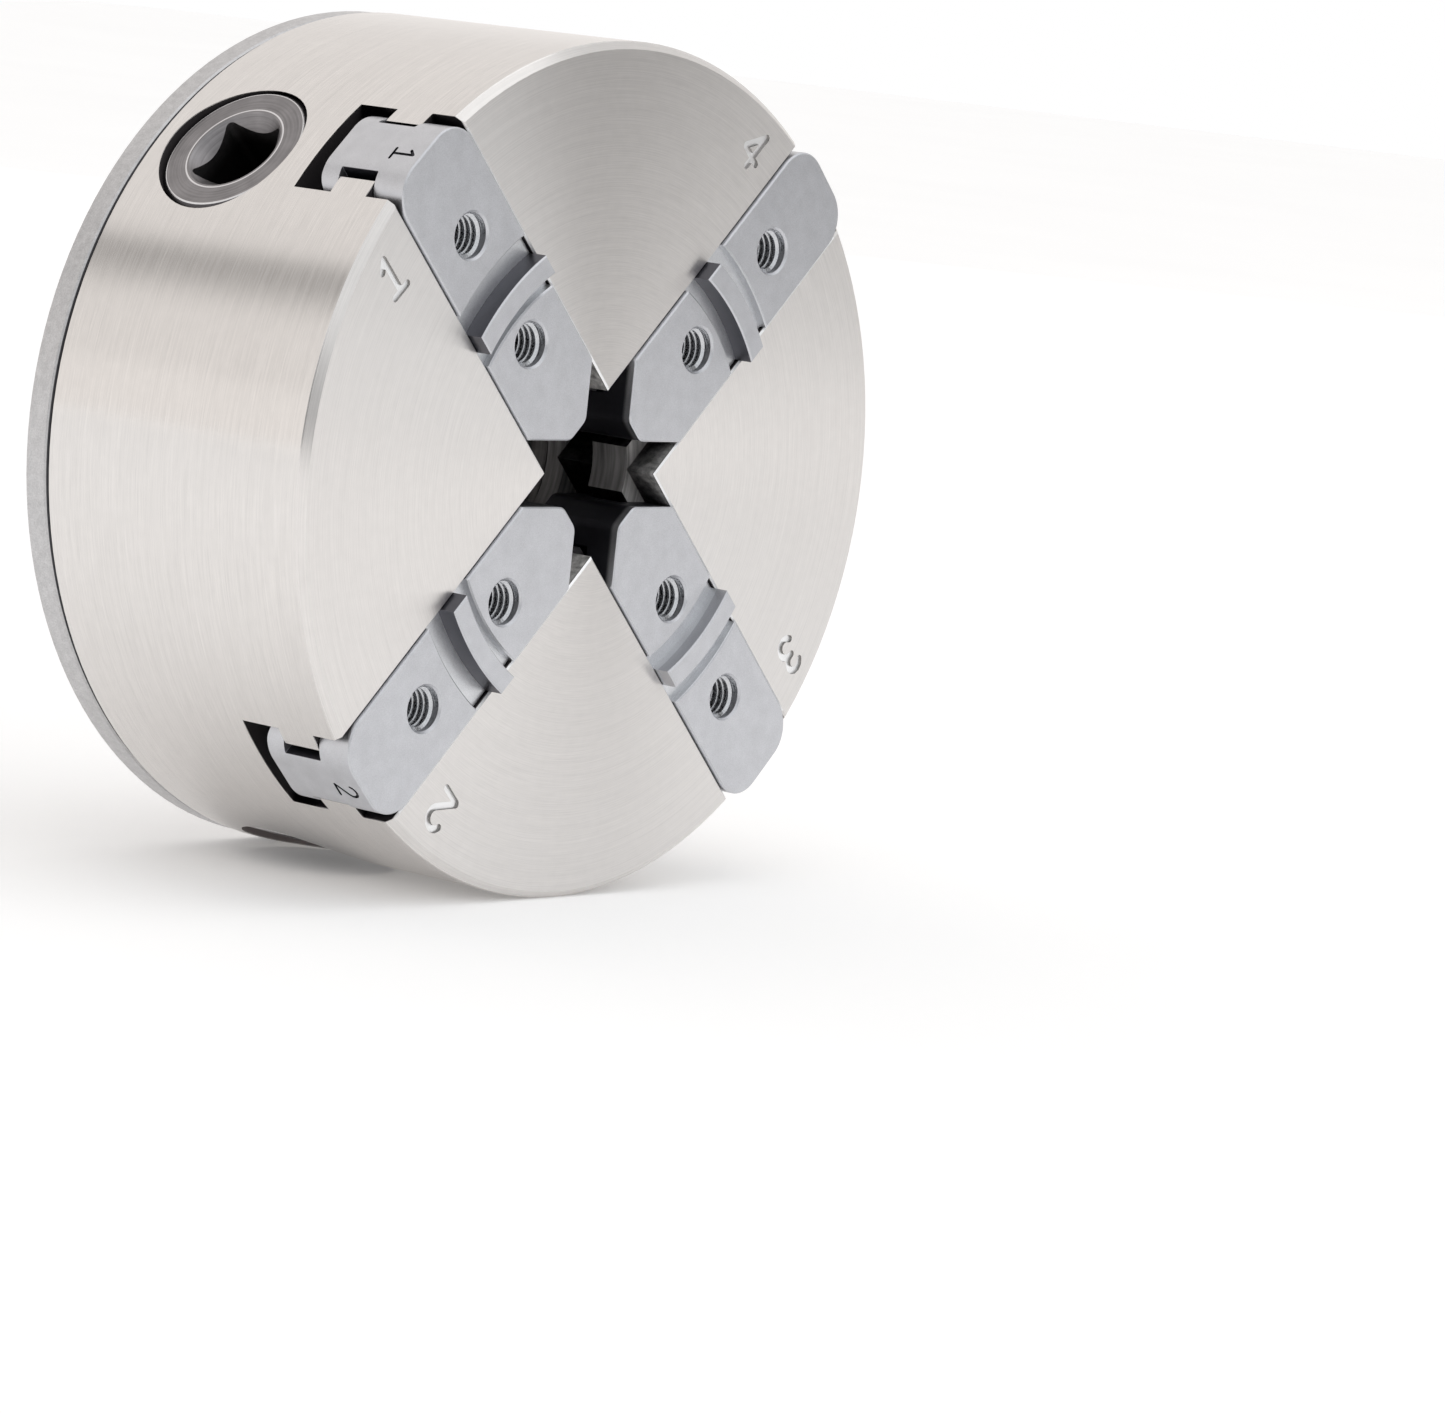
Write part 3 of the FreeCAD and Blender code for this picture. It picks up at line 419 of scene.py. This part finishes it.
def jaw_steel():
    """Satin plated steel with a fine blasted grain."""
    material, graph, shader = new_metal("jaw_steel")
    position = graph.position()
    channels, shaded_oily_sides, rib_walls, digit = jaw_masks(graph, position)
    grain = graph.noise(position, 1 / JAW_GRAIN_SIZE, detail=4.0, roughness=0.7)
    cloud = graph.noise(position, 1 / JAW_CLOUD_SIZE, detail=3.0)
    shade = graph.all_of(graph.remap(grain, *WIDE_NOISE_SPAN, *JAW_GRAIN_SHADE),
                         graph.vary(cloud, *JAW_CLOUD_SHADE))
    # A painted highlight on the channels.
    plain = graph.mix_colour(channels, JAW_COLOUR, JAW_CHANNEL_HIGHLIGHT)
    # Painted shade and oil on the sides.
    plain = graph.mix_colour(shaded_oily_sides, plain, JAW_SIDE_SHADE_COLOUR)
    # Painted shade on the rib's upright walls.
    colour = graph.mix_colour(rib_walls, graph.shaded(plain, shade), JAW_WALL_SHADE_COLOUR)
    wire(graph, shader, graph.mix_colour(digit, colour, DIGIT_INK), graph.vary(grain, *JAW_ROUGHNESS),
         grain, JAW_GRAIN_HEIGHT)
    return material


PINION_COLOUR = (0.255, 0.245, 0.25)
PINION_ANISOTROPY = 0.5
PINION_ROUGHNESS = (0.28, 0.42)
PINION_RINGS = (0.3 * MM, 60 * MM)
PINION_FINE_MARKS = (0.1 * MM, 12 * MM)
PINION_STAIN_SIZE = 3 * MM
PINION_STAIN_SHADE = (0.85, 1.1)
PINION_RING_SHADE = (0.8, 1.2)
PINION_RING_HEIGHT = 0.012 * MM
# Painted shade deeper in the socket.
PINION_SOCKET_SHADE = (0.05, 0.045, 0.045)
PINION_SOCKET_RADIUS = 7.0 * MM
PINION_SOCKET_DEPTHS = (0.3 * MM, 4.0 * MM)
PINION_SOCKET_FADE = 0.05 * MM
# The face's distance from the joint's own point, which lies inside the pinion.
PINION_FACE = 6.1 * MM
PINION_FACE_RADIUS = 9.92 * MM
PINION_EDGE = 0.1 * MM
# A painted highlight along the face's edges.
PINION_EDGE_HIGHLIGHT = (0.72, 0.71, 0.72)
# Painted shade on the chamfer round the face.
PINION_CHAMFER_SHADE = (0.09, 0.085, 0.09)


def pinion_steel(number):
    """Dark hardened steel with turning rings round the pinion's own axis. Its edges carry a painted highlight, and
    its chamfer and socket painted shade.
    """
    joint = JOINTS[f"pinion_{number}_turn"]
    axis = Vector(joint["axis"])
    material, graph, shader = new_metal(f"pinion_steel_{number}", PINION_ANISOTROPY)
    turned = radius, along, outward = turned_coordinates(graph, joint["pos_m"], axis)
    rings = lathe_marks(graph, turned, *PINION_RINGS)
    fine = lathe_marks(graph, turned, *PINION_FINE_MARKS)
    stain = graph.noise(graph.position(), 1 / PINION_STAIN_SIZE, detail=4.0)
    shade = graph.all_of(graph.vary(rings, *PINION_RING_SHADE), graph.vary(stain, *PINION_STAIN_SHADE))
    # Painted shade on the chamfer round the face.
    chamfer = graph.over(radius, PINION_FACE_RADIUS, SOFT)
    colour = graph.mix_colour(chamfer, graph.shaded(PINION_COLOUR, shade), PINION_CHAMFER_SHADE)

    depth = graph.math("SUBTRACT", PINION_FACE, along)
    at_face = graph.under(depth, 3 * PINION_EDGE, SOFT)
    # A painted highlight on the face's outer edge and round the socket's mouth.
    for edge in (PINION_FACE_RADIUS, PINION_SOCKET_RADIUS):
        edge_highlight = graph.between(radius, edge - PINION_EDGE, edge + PINION_EDGE, SOFT)
        colour = graph.mix_colour(graph.all_of(edge_highlight, at_face), colour, PINION_EDGE_HIGHLIGHT)
    # Painted shade darkens the socket below its mouth.
    socket = graph.all_of(graph.remap(depth, *PINION_SOCKET_DEPTHS, 0.0, 1.0),
                          graph.under(radius, PINION_SOCKET_RADIUS, PINION_SOCKET_FADE))
    wire(graph, shader, graph.mix_colour(socket, colour, PINION_SOCKET_SHADE),
         graph.vary(fine, *PINION_ROUGHNESS), rings, PINION_RING_HEIGHT)
    graph.put(shader.inputs["Tangent"], across_marks(graph, outward, axis))
    return material


COVER_COLOUR = (0.60, 0.595, 0.60)
COVER_ROUGHNESS = (0.4, 0.55)
COVER_GRAIN_SIZE = 0.22 * MM
COVER_GRAIN_SHADE = (0.8, 1.12)
COVER_SPECKLE_SIZE = 1.1 * MM
COVER_SPECKLE_SHADE = (0.92, 1.06)
COVER_GRAIN_HEIGHT = 0.012 * MM
COVER_SEAM = 0.15 * MM
COVER_SEAM_COLOUR = (0.06, 0.06, 0.065)


def cover_steel():
    """Grey blasted steel with a fine, even grain, dark where it meets the body."""
    material, graph, shader = new_metal("cover_steel")
    position = graph.position()
    grain = graph.noise(position, 1 / COVER_GRAIN_SIZE, detail=3.0, roughness=0.7)
    speckle = graph.noise(position, 1 / COVER_SPECKLE_SIZE)
    shade = graph.all_of(graph.vary(grain, *COVER_GRAIN_SHADE), graph.vary(speckle, *COVER_SPECKLE_SHADE))
    seam = graph.under(graph.split(position)[1], BODY_BACK_Y + COVER_SEAM, SOFT)
    wire(graph, shader, graph.mix_colour(seam, graph.shaded(COVER_COLOUR, shade), COVER_SEAM_COLOUR),
         graph.vary(grain, *COVER_ROUGHNESS), grain, COVER_GRAIN_HEIGHT)
    return material


GEAR_COLOUR = (0.24, 0.23, 0.22)
GEAR_OIL_COLOUR = (0.12, 0.11, 0.10)
GEAR_OIL_SPAN = (0.45, 0.6)
GEAR_OIL_SIZE = 5 * MM
GEAR_OIL_ROUGHNESS = 0.16
GEAR_ROUGHNESS = (0.3, 0.45)
GEAR_MARKS = (0.25 * MM, 15 * MM)
GEAR_MARK_SHADE = (0.8, 1.15)
GEAR_MARK_HEIGHT = 0.006 * MM


def gear_steel():
    """Oiled hardened steel: turned marks, blotches of oil, and a wet sheen."""
    material, graph, shader = new_metal("gear_steel")
    marks = lathe_marks(graph, turned_coordinates(graph, (0, 0, 0), CHUCK_AXIS), *GEAR_MARKS)
    wet = graph.remap(graph.noise(graph.position(), 1 / GEAR_OIL_SIZE, detail=3.0), *GEAR_OIL_SPAN, 0.0, 1.0)
    colour = graph.shaded(GEAR_COLOUR, graph.vary(marks, *GEAR_MARK_SHADE))
    roughness = graph.mix_value(wet, graph.vary(marks, *GEAR_ROUGHNESS), GEAR_OIL_ROUGHNESS)
    wire(graph, shader, graph.mix_colour(wet, colour, GEAR_OIL_COLOUR), roughness, marks, GEAR_MARK_HEIGHT)
    return material


SCREW_COLOUR = (0.035, 0.035, 0.038)
SCREW_ROUGHNESS = 0.32
SPRING_COLOUR = (0.09, 0.09, 0.1)
SPRING_ROUGHNESS = 0.28
RUBBED_COLOUR = (0.42, 0.42, 0.43)
RUB_SPAN = (0.55, 0.75)
RUB_SHARE = 0.6
WEAR_SIZE = 0.7 * MM
WEAR_ROUGHNESS = 0.15
WEAR_HEIGHT = 0.01 * MM


def black_steel(name, colour, roughness):
    """Blackened steel, worn a little brighter in patches."""
    material, graph, shader = new_metal(name)
    wear = graph.noise(graph.position(), 1 / WEAR_SIZE, detail=5.0, roughness=0.65)
    rub = graph.remap(wear, *RUB_SPAN, 0.0, RUB_SHARE)
    wire(graph, shader, graph.mix_colour(rub, colour, RUBBED_COLOUR),
         graph.vary(wear, roughness, roughness + WEAR_ROUGHNESS), wear, WEAR_HEIGHT)
    return material


THREAD_ROUGHNESS = (0.2, 0.34)
THREAD_MARK_SIZE = 0.3 * MM
THREAD_MARK_SHADE = (0.85, 1.1)
THREAD_MARK_HEIGHT = 0.004 * MM


def thread_steel(name, colour):
    """Freshly cut thread, bright and finely marked."""
    material, graph, shader = new_metal(name)
    marks = graph.noise(graph.position(), 1 / THREAD_MARK_SIZE, detail=3.0)
    wire(graph, shader, graph.shaded(colour, graph.vary(marks, *THREAD_MARK_SHADE)),
         graph.vary(marks, *THREAD_ROUGHNESS), marks, THREAD_MARK_HEIGHT)
    return material


def dress_nodes():
    """Gives each CAD node the material that its slot names."""
    slots = {
        "screw_steel": black_steel("screw_steel", SCREW_COLOUR, SCREW_ROUGHNESS),
        "body_steel": body_steel(),
        "jaw_steel": jaw_steel(),
        "cover_steel": cover_steel(),
        "gear_steel": gear_steel(),
        "spring_steel": black_steel("spring_steel", SPRING_COLOUR, SPRING_ROUGHNESS),
    }
    for entry in frame["record"]["subparts"]:
        node, slot = entry["node"], entry["material_slot"]
        pinion = slot == "pinion_steel"
        materials = NODES[node].data.materials
        materials.clear()
        materials.append(pinion_steel(int(node.split("_")[1])) if pinion else slots[slot])


# ---- Screw threads

# Steps in a turn, how far a ridge sinks in the wall, and half its width as a share of the pitch.
THREAD_STEPS = 36
THREAD_SINK = 0.03 * MM
CREST_SHARE = 0.16
ROOT_SHARE = 0.44


def add_mesh(name, corners, faces, material):
    """A new object in the scene, made from corners and faces."""
    mesh = bpy.data.meshes.new(name)
    mesh.from_pydata(corners, [], faces)
    mesh.update()
    mesh.materials.append(material)
    piece = bpy.data.objects.new(name, mesh)
    bpy.context.scene.collection.objects.link(piece)
    return piece


def thread_ridge(name, outer, inner, pitch, length, material):
    """A helical ridge inside a hole, from its wall to its inner radius. It runs from z = 0 down to -length
    and fades out over half a turn at each end."""
    turns = length / pitch - 2 * ROOT_SHARE
    steps = int(turns * THREAD_STEPS)
    fade_steps = THREAD_STEPS // 2
    corners = []
    for step in range(steps + 1):
        angle = 2 * math.pi * step / THREAD_STEPS
        middle = -pitch * (ROOT_SHARE + step / THREAD_STEPS)
        rise = min(1.0, step / fade_steps, (steps - step) / fade_steps)
        crest = outer - (outer - inner) * rise
        profile = (
            (outer + THREAD_SINK, ROOT_SHARE),
            (crest, CREST_SHARE),
            (crest, -CREST_SHARE),
            (outer + THREAD_SINK, -ROOT_SHARE),
        )
        for radius, share in profile:
            corners.append((radius * math.cos(angle), radius * math.sin(angle), middle + share * pitch))
    faces = []
    for here in range(0, 4 * steps, 4):
        for side in range(4):
            following = (side + 1) % 4
            faces.append((here + side, here + following, here + 4 + following, here + 4 + side))
    last = 4 * steps
    faces += [(3, 2, 1, 0), (last, last + 1, last + 2, last + 3)]
    return add_mesh(name, corners, faces, material)


def place_thread(piece, mouth, axis):
    """Stands a thread in its hole: its mouth at a point, its z axis out of the hole."""
    turn = Vector((0, 0, 1)).rotation_difference(Vector(axis)).to_matrix().to_4x4()
    piece.data.transform(Matrix.Translation(mouth) @ turn)


JAW_THREAD_COLOUR = (0.62, 0.63, 0.65)
JAW_THREAD_PITCH = 1.0 * MM
JAW_THREAD_INNER = 2.55 * MM
JAW_THREAD_LENGTH = 9.6 * MM
JAW_THREAD_MOUTH = -0.1 * MM
SPINDLE_THREAD_COLOUR = (0.50, 0.49, 0.48)
SPINDLE_THREAD_PITCH = 3.5 * MM
SPINDLE_THREAD_INNER = 14.7 * MM


def jaw_threads():
    """The M6 threads: two in each jaw, in holes set square to the front."""
    material = thread_steel("jaw_thread_steel", JAW_THREAD_COLOUR)
    for place in ("inner", "outer"):
        dims = MOUNTS[f"jaw_screws_{place}"]["dims"]
        for number in range(1, dims["count"] + 1):
            along = Vector(JOINTS[f"jaw_{number}_slide"]["axis"])
            mouth = along * (dims["pcd_mm"] / 2 * MM) + Vector((0, FACE_Y + JAW_THREAD_MOUTH, 0))
            piece = thread_ridge(f"jaw_thread_{place}_{number}", dims["hole_r_mm"] * MM, JAW_THREAD_INNER,
                                 JAW_THREAD_PITCH, JAW_THREAD_LENGTH, material)
            place_thread(piece, mouth, -CHUCK_AXIS)
            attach(piece, f"jaw_{number}")


def spindle_thread():
    """The thread in the hub that screws onto the lathe."""
    mount = MOUNTS["spindle_thread"]
    dims = mount["dims"]
    piece = thread_ridge("spindle_thread", dims["r_mm"] * MM, SPINDLE_THREAD_INNER, SPINDLE_THREAD_PITCH,
                         dims["length_mm"] * MM, thread_steel("spindle_thread_steel", SPINDLE_THREAD_COLOUR))
    place_thread(piece, Vector(mount["pos_m"]), mount["axis"])
    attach(piece, "body")


# ---- Stage, lights and camera

GLOW_COLOUR = (1.0, 0.985, 0.97, 1.0)


def paper(name, levels, mottle_scale, roughness, glow_strength):
    """Matt paper, faintly mottled between two grey levels."""
    material, graph, shader = new_surface(name)
    grey = graph.vary(graph.noise(graph.position(), mottle_scale), *levels)
    graph.put(shader.inputs["Base Color"], graph.combine(grey, grey, grey))
    shader.inputs["Roughness"].default_value = roughness
    shader.inputs["Specular IOR Level"].default_value = 0.0
    shader.inputs["Emission Color"].default_value = GLOW_COLOUR
    shader.inputs["Emission Strength"].default_value = glow_strength
    return material


FLOOR_HALF_SIZE = 6.0
FLOOR_LEVELS = (0.93, 0.95)
FLOOR_MOTTLE_SCALE = 6.0
FLOOR_ROUGHNESS = 0.9
FLOOR_GLOW_STRENGTH = 0.14


def studio_floor():
    """A white floor, level with the chuck's lowest point. It glows a little, so that it stays white to the
    horizon and greys only in the chuck's shadow."""
    material = paper("studio_floor", FLOOR_LEVELS, FLOOR_MOTTLE_SCALE, FLOOR_ROUGHNESS, FLOOR_GLOW_STRENGTH)
    corners = [(x * FLOOR_HALF_SIZE, y * FLOOR_HALF_SIZE, FLOOR_Z)
               for x, y in ((-1, -1), (1, -1), (1, 1), (-1, 1))]
    floor = add_mesh("studio_floor", corners, [(0, 1, 2, 3)], material)


# The grey card stands off the front face's right-hand side, where the face mirrors it.
CARD_DIRECTION = Vector((0.778, -0.628, 0.0))
CARD_DISTANCE = 0.35
CARD_HALF_WIDTH = 0.08
CARD_TOP = 0.36
CARD_LEVELS = (0.209, 0.231)
CARD_FIBRE_SCALE = 400.0
CARD_ROUGHNESS = 1.0


def grey_card():
    """A card that only reflections see: it greys the top of the front face."""
    material = paper("grey_card", CARD_LEVELS, CARD_FIBRE_SCALE, CARD_ROUGHNESS, 0.0)
    middle = Vector((0, FACE_Y, 0)) + CARD_DIRECTION * CARD_DISTANCE
    side = CARD_DIRECTION.cross(Vector((0, 0, 1))).normalized() * CARD_HALF_WIDTH
    high = Vector((0, 0, CARD_TOP))
    corners = [middle - side, middle + side, middle + side + high, middle - side + high]
    card = add_mesh("grey_card", corners, [(0, 1, 2, 3)], material)
    card.visible_camera = False
    card.visible_diffuse = False
    card.visible_shadow = False


# The room's grey levels and tints. The band's edges are angles about Y, in degrees.
ROOM_LEVEL = 0.93
BACK_TINT = (1.0, 0.968, 0.945)
FRONT_TINT = (0.985, 1.0, 1.015)
TINT_SPAN = (-0.3, 0.3)
BAND_LEVEL = 0.42
BAND_RISE = (130.5, 132.5)
BAND_FALL = (149.0, 135.0)
BAND_FADE = 0.3
CAMERA_SIDE = Vector((-0.66, -0.74, -0.10))
CAMERA_SIDE_LEVEL = 0.3
CAMERA_SIDE_COSINE = 0.955
CAMERA_SIDE_FADE = 0.09


def studio_world():
    """A white room. It has a darker band high on the left, which the rim mirrors, and a dark place round
    the camera, which the front chamfer mirrors. The camera itself sees plain white."""
    world = bpy.data.worlds.new("studio")
    world.use_nodes = True
    bpy.context.scene.world = world
    graph = Graph(world.node_tree)
    direction = graph.add("ShaderNodeTexCoord").outputs["Generated"]
    x, y, z = graph.split(direction)
    turn = graph.math("ARCTAN2", z, x)
    rise, fall = (graph.ramp(turn, *map(math.radians, edges)) for edges in (BAND_RISE, BAND_FALL))
    band = graph.all_of(rise, fall, graph.over(y, 0.0, BAND_FADE))
    level = graph.mix_value(band, ROOM_LEVEL, BAND_LEVEL)
    towards_camera = graph.vector_math("DOT_PRODUCT", direction, tuple(CAMERA_SIDE.normalized()))
    near_camera = graph.over(towards_camera, CAMERA_SIDE_COSINE, CAMERA_SIDE_FADE)
    level = graph.mix_value(near_camera, level, CAMERA_SIDE_LEVEL)
    tint = graph.mix_colour(graph.remap(y, *TINT_SPAN, 0.0, 1.0), FRONT_TINT, BACK_TINT)
    seen = graph.add("ShaderNodeLightPath").outputs["Is Camera Ray"]
    background = world.node_tree.nodes["Background"]
    graph.put(background.inputs["Color"], graph.mix_colour(seen, graph.shaded(tint, level), WHITE))


CHUCK_MIDDLE = Vector((0, -0.03, 0))
WARM = (1.0, 0.97, 0.94)
# Name, place, width, height, power in watts, colour.
SOFT_BOXES = (
    ("right_panel", (1.5, 1.3, 0.35), 1.2, 0.9, 0.35, WHITE),
    ("left_panel", (-1.5, 1.2, 0.1), 1.0, 0.5, 0.15, WARM),
    ("top_panel", (0.1, -0.4, 1.8), 1.6, 1.2, 3.0, WHITE),
)


def studio_lights():
    """Soft boxes aimed at the chuck."""
    for name, place, width, height, power, colour in SOFT_BOXES:
        light = bpy.data.lights.new(name, "AREA")
        light.shape = "RECTANGLE"
        light.size = width
        light.size_y = height
        light.energy = power
        light.color = colour
        lamp = bpy.data.objects.new(name, light)
        lamp.location = place
        lamp.rotation_euler = (CHUCK_MIDDLE - Vector(place)).to_track_quat("-Z", "Y").to_euler()
        lamp.visible_camera = False
        bpy.context.scene.collection.objects.link(lamp)


# Angles and metres, and millimetres for the lens and the sensor.
CAMERA_AZIMUTH = math.radians(-51.15)
CAMERA_ELEVATION = math.radians(6.89)
CAMERA_ROLL = math.radians(6.06)
CAMERA_DISTANCE = 0.7804
CAMERA_RIGHT = 0.01609
CAMERA_UP = -0.03071
CAMERA_LENS = 147.19
CAMERA_SENSOR = 36.0
CAMERA_CLIP = (0.01, 50.0)


def studio_camera():
    """The camera looks at the front face from its left, a little above, and is rolled slightly."""
    level = math.cos(CAMERA_ELEVATION)
    back = Vector((
        math.sin(CAMERA_AZIMUTH) * level,
        -math.cos(CAMERA_AZIMUTH) * level,
        math.sin(CAMERA_ELEVATION),
    ))
    right = (-back).cross(Vector((0, 0, 1))).normalized()
    up = right.cross(-back)
    rolled_right = right * math.cos(CAMERA_ROLL) + up * math.sin(CAMERA_ROLL)
    rolled_up = up * math.cos(CAMERA_ROLL) - right * math.sin(CAMERA_ROLL)
    face_centre = Vector((0, FACE_Y, 0))
    place = face_centre + back * CAMERA_DISTANCE + rolled_right * CAMERA_RIGHT + rolled_up * CAMERA_UP
    data = bpy.data.cameras.new("camera")
    data.sensor_width = CAMERA_SENSOR
    data.lens = CAMERA_LENS
    data.clip_start, data.clip_end = CAMERA_CLIP
    camera = bpy.data.objects.new("camera", data)
    pose = Matrix((rolled_right, rolled_up, back)).transposed().to_4x4()
    camera.matrix_world = Matrix.Translation(place) @ pose
    bpy.context.scene.collection.objects.link(camera)
    bpy.context.scene.camera = camera


dress_nodes()
jaw_threads()
spindle_thread()
studio_floor()
grey_card()
studio_world()
studio_lights()
studio_camera()
bpy.context.scene.view_settings.view_transform = "Standard"
